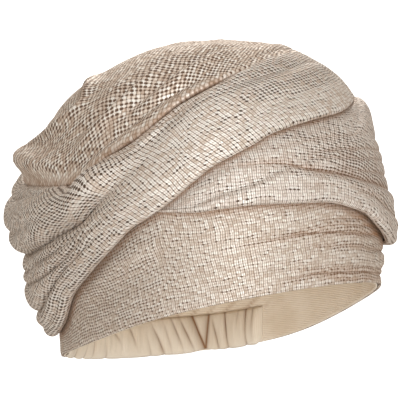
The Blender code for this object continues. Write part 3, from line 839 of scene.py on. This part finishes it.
def wrap_points(edges, columns, visible_top, shares, folds, pleats=None, slack=0.2, seam=0.0, tucked=0.0):
    """Points and marks of a wrap: round its rolled edge, over its body, and on under the next layer."""
    bearing = columns[:, None] + 0 * shares
    lower = round_head(edges, "lower", bearing)
    roll = round_head(edges, "roll", bearing)
    hem = round_head(edges, "hem", bearing)
    body = round_head(edges, "body", bearing)
    dip = round_head(edges, "dip", bearing)
    tuck = round_head(edges, "tuck", bearing)
    turn = np.radians(np.clip(shares, -1, 0) * ROLL_TURN + 90)
    width = visible_top(bearing) - lower - roll
    up = np.clip(shares, 0, 1) * width
    hidden = np.clip(shares - 1, 0, 1) * OVERLAP
    tape = lower + roll * (1 - np.cos(turn)) + up + hidden
    extra = fold_lift(folds, bearing, tape) + ease(bearing, tape, slack)
    if pleats is not None:
        extra = extra + pleats(bearing, tape, lower + roll, visible_top(bearing))
    extra = extra * smooth_step(up / FOLD_START)
    extra = extra - seam * np.exp(-(((up - HEM_SEAM_RISE) / HEM_SEAM_WIDTH) ** 2))
    over = hem + (body - hem) * smooth_step(up / ROLL_REACH) + extra
    down = up - width + dip
    sink = 0.45 * smooth_step(down / 3.5) + 0.55 * smooth_step(down / np.maximum(dip, 1) * 2 - 1)
    sink = np.where(dip > 0, sink, 0)
    lift = over + (tuck - over) * sink
    lift = np.where(shares < 0, hem - roll * (1 - np.sin(turn)), lift)
    # Painted shade: the cloth darkens near its top where it dips under the next layer, on the underside
    # of its rolled edge, in a shadow line and a shaded strip along the tuck, and in narrow grooves.
    crease_shade = smooth_step((dip - 3) / 3) * smooth_step((up - width + 4) / 4) + smooth_step(-shares - 0.45)
    strip = tucked * smooth_step((dip - 5) / 4)
    crease_shade = crease_shade + strip * (0.7 * np.exp(-(((down - 2.6) / 0.8) ** 2)) + 0.25 * smooth_step(down / 3))
    pinched = pinch(folds, bearing, tape)
    crease_shade = np.clip(0.6 * np.clip(crease_shade, 0, 1) + 0.45 * pinched, 0, 1)
    return lifted(FORM, bearing, tape, lift), {"crease_shade": crease_shade, "strain": 0.7 * pinched}


MIDDLE_ROW_SPACING = 3.7
ROLL_SHARES = np.linspace(-1, 0, 9)
WRAP_SHARES = np.concatenate([ROLL_SHARES, np.linspace(0, 1, 91)[1:], [1.25, 1.5, 2]])
columns = np.linspace(MIDDLE_START, MIDDLE_END, 248)
points, marks = wrap_points(MIDDLE, columns, middle_top, WRAP_SHARES, MIDDLE_FOLDS)
bearing = columns[:, None] + 0 * WRAP_SHARES
rise = np.linalg.norm(np.diff(points, axis=1), axis=2).cumsum(axis=1)
rise = np.concatenate([np.zeros((len(points), 1)), rise], axis=1) + 0.35 * bearing
# The knit is pulled open in a patch above the brow.
open_patch = ((bearing - 12) / 18) ** 2 + ((rise - 0.35 * bearing - 36) / 12) ** 2
marks["strain"] += 0.85 * np.exp(-open_patch)
rows_open = pulled_rows(bearing, rise, MIDDLE_ROW_SPACING)
marks["strain"] += smooth_step((bearing - 2) / 22) * row_strain(rows_open)
middle = cloth_piece(
    "middle_wrap_knit",
    points,
    slanting_weave(points, len(ROLL_SHARES) - 1),
    COVER_WALL,
    mesh_knit(
        "champagne_mesh_knit_middle",
        light="#f4ebe3", mid="#d2c2b5", shade="#7e6c5d", slot="#5e4b3d",
        wale_mm=2.4, course_mm=1.7, openness=0.24, widest=0.84, contrast=0.54,
        line_share=0.66, row_share=0.16, stagger=0.06, slot_shape=(0.85, 1.15), split=0.75,
    ),
    marks,
)
dress(
    middle, "middle_wrap",
)

# Sash
# A broad band of the knit that slants from low behind the right ear up over the left
# front. It is drawn together at the back of the right side into deep lapping pleats.

# Heights of the six creases at a bearing, and how strong the rolls, lower and upper creases are.
Crease = namedtuple("Crease", "bearing first second third fourth fifth sixth pleats tucks nips")
CREASES = (
    Crease(-205, 64, 74, 80, 88, 98, 112, 0.25, 0.2, 0.2),
    Crease(-180, 39, 50, 56, 64, 76, 94, 0.6, 0.5, 0.5),
    Crease(-155, 17, 31, 37, 47, 60, 77, 0.9, 0.9, 0.9),
    Crease(-133, 10.5, 25.5, 32, 42.5, 54.5, 71, 1.0, 1.0, 1.0),
    Crease(-117, 19.5, 30.5, 39, 48, 58.5, 74.5, 1.0, 1.0, 0.8),
    Crease(-102, 34.5, 40, 48.5, 56, 64.5, 77.5, 1.0, 0.8, 0.3),
    Crease(-89, 47, 52, 57, 63, 73, 80, 0.9, 0.5, 0.1),
    Crease(-79, 57, 62, 67.5, 75, 81, 86, 0.6, 0.22, 0.0),
    Crease(-68, 68, 74, 80, 87, 92, 97, 0.3, 0.0, 0.0),
    Crease(-55, 80, 87, 92, 101, 107, 112, 0.1, 0.0, 0.0),
    Crease(-45, 88, 96, 101, 110, 116, 120, 0.0, 0.0, 0.0),
)
# A broad roll between two creases. It reaches its full height where they leave it that room.
Pleat = namedtuple("Pleat", "over under height lean room")
PLEATS = (
    Pleat("first", "low", 4.3, 0.62, 8),
    Pleat("fourth", "first", 6.4, 0.62, 28),
    Pleat("high", "fourth", 10.6, 0.85, 24),
)
# A groove along one of the creases.
Nip = namedtuple("Nip", "line strength depth width")
NIPS = (
    Nip("first", "tucks", 2.4, 2.2),
    Nip("second", "tucks", 4.0, 1.7),
    Nip("third", "tucks", 3.0, 1.6),
    Nip("fourth", "tucks", 3.4, 2.6),
    Nip("fifth", "nips", 4.0, 2.2),
    Nip("sixth", "nips", 4.0, 2.4),
    Nip("high", "nips", 3.5, 5.0),
)
SASH_FOLDS = (
    Fold(((-81, 89, -1.0), (-71, 96, -2.5), (-60, 105, -3.2), (-54, 117, -3.0),
          (-46, 128, -1.0)), 4.5, 2),
    Fold(((-112, 52, 0), (-101, 57, -2.4), (-90, 63, -3.6), (-80, 73, -3.4), (-72, 83, -2.4),
          (-63, 94, -1.2), (-54, 106, 0)), 5, 2),
    Fold(((-50, 86, 0), (-62, 76, 0.9), (-78, 58, 1.3), (-92, 43, 1.2), (-104, 30, 0.8),
          (-115, 15, 0)), 4.0, 2),
    Fold(((-40, 106, 0), (-28, 117, -0.7), (-12, 130, -0.9), (10, 140, -0.6), (30, 146, 0)), 3.0, 1.6),
    Fold(((-45, 118, 0), (-30, 131, 0.9), (-14, 141, 1.0), (8, 150, 0.7), (30, 155, 0)), 4.0, 2),
    Fold(((-36, 134, 0), (-24, 142, -1.1), (-8, 150, -1.2), (12, 157, -0.9), (40, 160, 0)), 2.5, 1.6),
    Fold(((50, 150, 0), (75, 140, -1.0), (100, 124, -1.4), (130, 98, -1.6), (155, 72, -1.0)), 3.0, 1.6),
    Fold(((55, 141, 0), (80, 132, 1.2), (105, 114, 1.5), (135, 86, 1.6), (158, 60, 1.0)), 5.0, 2),
    Fold(((90, 146, 0), (115, 130, -0.9), (140, 108, -1.4), (160, 90, -1.2)), 3.0, 1.6),
    Fold(((95, 124, 0), (120, 104, -1.1), (142, 80, -1.4), (160, 56, -1.0)), 3.0, 1.6),
)


def crease_line(name, bearing):
    """One column of the table of creases, read round the back from the front of the right side."""
    turned = np.where(bearing > 100, bearing - 360, bearing)
    places = [row.bearing for row in CREASES]
    return through(places, [getattr(row, name) for row in CREASES], turned)


def drawn_in(bearing):
    """How strongly the sash is drawn together at each bearing."""
    turned = np.where(bearing > 100, bearing - 360, bearing)
    places = [-240] + [row.bearing for row in CREASES]
    return through(places, [0] + [row.pleats for row in CREASES], turned)


def gathered(bearing, tape, low, high):
    """The gathered side: three broad rolls, each rounded between two creases, nipped by finer ones."""
    lines = {"low": low, "high": high}
    for name in ("first", "second", "third", "fourth", "fifth", "sixth"):
        lines[name] = crease_line(name, bearing)
    total = np.zeros(bearing.shape)
    for pleat in PLEATS:
        room = np.maximum(lines[pleat.over] - lines[pleat.under], 1.0)
        t = (tape - lines[pleat.under]) / room
        inside = (t >= 0) & (t < 1)
        softness = 1.5 - 0.9 * crease_line("tucks", bearing)
        profile = 0.25 + 0.75 * np.sin(np.pi * np.clip(t, 0, 1) ** pleat.lean) ** softness
        total += np.where(inside, pleat.height * profile * np.minimum(1, room / pleat.room), 0)
    total = total * drawn_in(bearing)
    for nip in NIPS:
        away = np.abs(tape - lines[nip.line]) / nip.width
        total -= nip.depth * crease_line(nip.strength, bearing) * np.exp(-(away**1.4))
    return total


GATHER_STRAIN = 0.48
FRONT_STRAIN = 0.60
TUCK_STRAIN = 0.75
columns = np.linspace(ROUND_FROM, ROUND_TO, 401)
points, marks = wrap_points(
    SASH,
    columns,
    lambda bearing: round_head(CROWN, "lower", bearing),
    WRAP_SHARES,
    SASH_FOLDS,
    pleats=gathered,
    slack=WRAP_EASE,
    tucked=1.0,
)
bearing = columns[:, None]
marks["strain"] += GATHER_STRAIN * drawn_in(bearing)
over_brow = smooth_step((bearing + 48) / 34) * smooth_step((100 - bearing) / 30)
marks["strain"] += FRONT_STRAIN * over_brow * smooth_step((WRAP_SHARES - 0.15) / 0.35)
# Rows of slots run along the tuck under the crown cloth.
along_tuck = smooth_step((bearing + 100) / 15) * smooth_step((-bearing - 5) / 30)
for slot_row in (0.70, 0.80):
    marks["strain"] += TUCK_STRAIN * along_tuck * np.exp(-(((WRAP_SHARES - slot_row) / 0.016) ** 2))
sash = cloth_piece(
    "sash_knit",
    points,
    slanting_weave(points, len(ROLL_SHARES) - 1, opened=0.06 * drawn_in(columns), shear=0.45),
    COVER_WALL,
    mesh_knit(
        "champagne_mesh_knit_sash",
        light="#f5ede5", mid="#d4c2b2", shade="#766353", slot="#554336",
        wale_mm=2.4, course_mm=1.7, openness=0.28, widest=0.86, contrast=0.62,
        line_share=0.82, row_share=0.16, stagger=0.06, slot_shape=(1.0, 0.95), split=0.4,
    ),
    marks,
)
dress(
    sash, "sash",
)

# Crown cloth
# The cloth over the top of the head, laid on the bias so that its knit runs both ways
# across the dome. Its hemmed edge is folded under. It stands off the sash at the right and
# the back, and lies flat and almost hidden on the sash over the brow.
CROWN_FOLDS = (
    Fold(((-165, 94, 3.5), (-150, 93, 6.0), (-130, 90, 7.2), (-114, 89, 5.6), (-98, 93, 0.6)), 8.5, 2),
    Fold(((-155, 90, 3.5), (-130, 86, 4.0), (-112, 86, 2.0), (-98, 90, 0)), 6, 2),
    Fold(((-144, 145, 0), (-131, 139, 3.0), (-119, 133, 4.2), (-110, 122, 4.4), (-118, 112, 4.4),
          (-126, 106, 4.0), (-136, 100, 3.0), (-146, 98, 0)), 4.2, 1.4),
    Fold(((-97, 99, 0.5), (-92, 106, 3.2), (-80, 126, 4.6), (-74, 142, 4.4), (-71, 157, 3.4),
          (-66, 176, 0)), 5.0, 1.6),
    Fold(((-95, 90, -0.5), (-82, 103, -2.4), (-72, 116, -3.0), (-62, 129, -2.8), (-50, 141, -1.8),
          (-36, 152, 0)), 3.3, 1.5),
    Fold(((-72, 122, 0), (-64, 134, 2.0), (-56, 145, 2.8), (-46, 158, 2.8), (-30, 172, 1.5),
          (-5, 182, 0)), 4.2, 1.8),
    Fold(((-104, 104, 0), (-98, 112, -2.6), (-92, 124, -3.5), (-88, 138, -3.3), (-86, 156, -2.4),
          (-84, 176, 0)), 3.6, 1.5),
    Fold(((-84, 108, 0), (-75, 122, -1.2), (-66, 138, -2.2), (-60, 152, -2.4), (-50, 168, -1.6),
          (-30, 182, 0)), 3.0, 1.5),
    Fold(((-150, 112, 0), (-136, 118, -1.2), (-120, 122, -1.4), (-106, 134, -1.0),
          (-98, 150, 0)), 4, 1.8),
    Fold(((-60, 150, 0), (-48, 164, -1.0), (-30, 176, -1.2), (0, 186, -0.8), (40, 188, 0)), 4, 1.8),
    Fold(((-20, 168, 0), (0, 176, 1.0), (30, 180, 1.0), (70, 176, 0)), 5, 2),
    Fold(((60, 172, 0), (100, 162, -1.2), (140, 146, -1.5), (175, 130, -1.3), (200, 122, 0)), 4.5, 1.8),
    Fold(((70, 186, 0), (120, 176, 1.4), (160, 160, 1.6), (200, 146, 1.2), (215, 140, 0)), 7, 2),
    Fold(((120, 192, 0), (165, 180, -1.2), (205, 160, -1.2), (216, 150, -0.6)), 5, 1.8),
)
CROWN_LAY = math.radians(62.0)
CROWN_SHIFT = 300.0


def laid_weave(points, columns, window=8):
    """Thread directions of a cloth laid over the dome, measured along it from its top."""
    steps = np.linalg.norm(np.diff(points, axis=1), axis=2)
    from_top = np.cumsum(steps[:, ::-1], axis=1)[:, ::-1]
    from_top = np.concatenate([from_top, np.zeros((len(points), 1))], axis=1)
    once = from_top[:-1]
    turned = [np.roll(once, turn, axis=0) for turn in range(-window, window + 1)]
    from_top[:-1] = sum(turned) / len(turned)
    from_top[-1] = from_top[0]
    spread = 0.5 * (from_top + np.hypot(points[..., 0], points[..., 1]).mean(axis=0))
    x = spread * np.sin(np.radians(columns[:, None]))
    y = -spread * np.cos(np.radians(columns[:, None]))
    return np.stack(
        [
            x * math.cos(CROWN_LAY) - y * math.sin(CROWN_LAY) + CROWN_SHIFT,
            x * math.sin(CROWN_LAY) + y * math.cos(CROWN_LAY) + CROWN_SHIFT,
        ],
        -1,
    )


columns = np.linspace(ROUND_FROM, ROUND_TO, 361)
shares = np.concatenate([ROLL_SHARES, np.linspace(0, 1, 101)[1:]])
points, marks = wrap_points(
    CROWN,
    columns,
    lambda bearing: FORM[-1].tape + 0 * bearing,
    shares,
    CROWN_FOLDS,
    slack=WRAP_EASE,
    seam=0.35,
)
bearing = columns[:, None]
stands_off = 0.15 + 0.85 * (smooth_step((-22 - bearing) / 25) + smooth_step((bearing - 50) / 25))
marks["strain"] += 0.12 - 1.1 * stands_off * smooth_step((0.045 - shares) / 0.02)
# Painted shade, a little more along the folded hem. The painted shade of hem and creases shows only where
# the cloth stands off the sash.
hem_shade = 0.28 * smooth_step((0.025 - shares) / 0.02)
marks["crease_shade"] = np.clip((marks["crease_shade"] + hem_shade) * stands_off, 0, 1)
crown = cloth_piece(
    "crown_cloth_knit",
    points,
    laid_weave(points, columns),
    COVER_WALL,
    mesh_knit(
        "champagne_mesh_knit_crown",
        light="#e9dccf", mid="#bfa895", shade="#735a49", slot="#6b5343",
        wale_mm=2.2, course_mm=1.75, openness=0.68, widest=0.92, contrast=0.60,
        line_share=0.45, row_share=0.28, stagger=0.0, slot_shape=(0.92, 1.08), split=0.0,
    ),
    marks,
)
dress(
    crown, "crown_cloth",
)
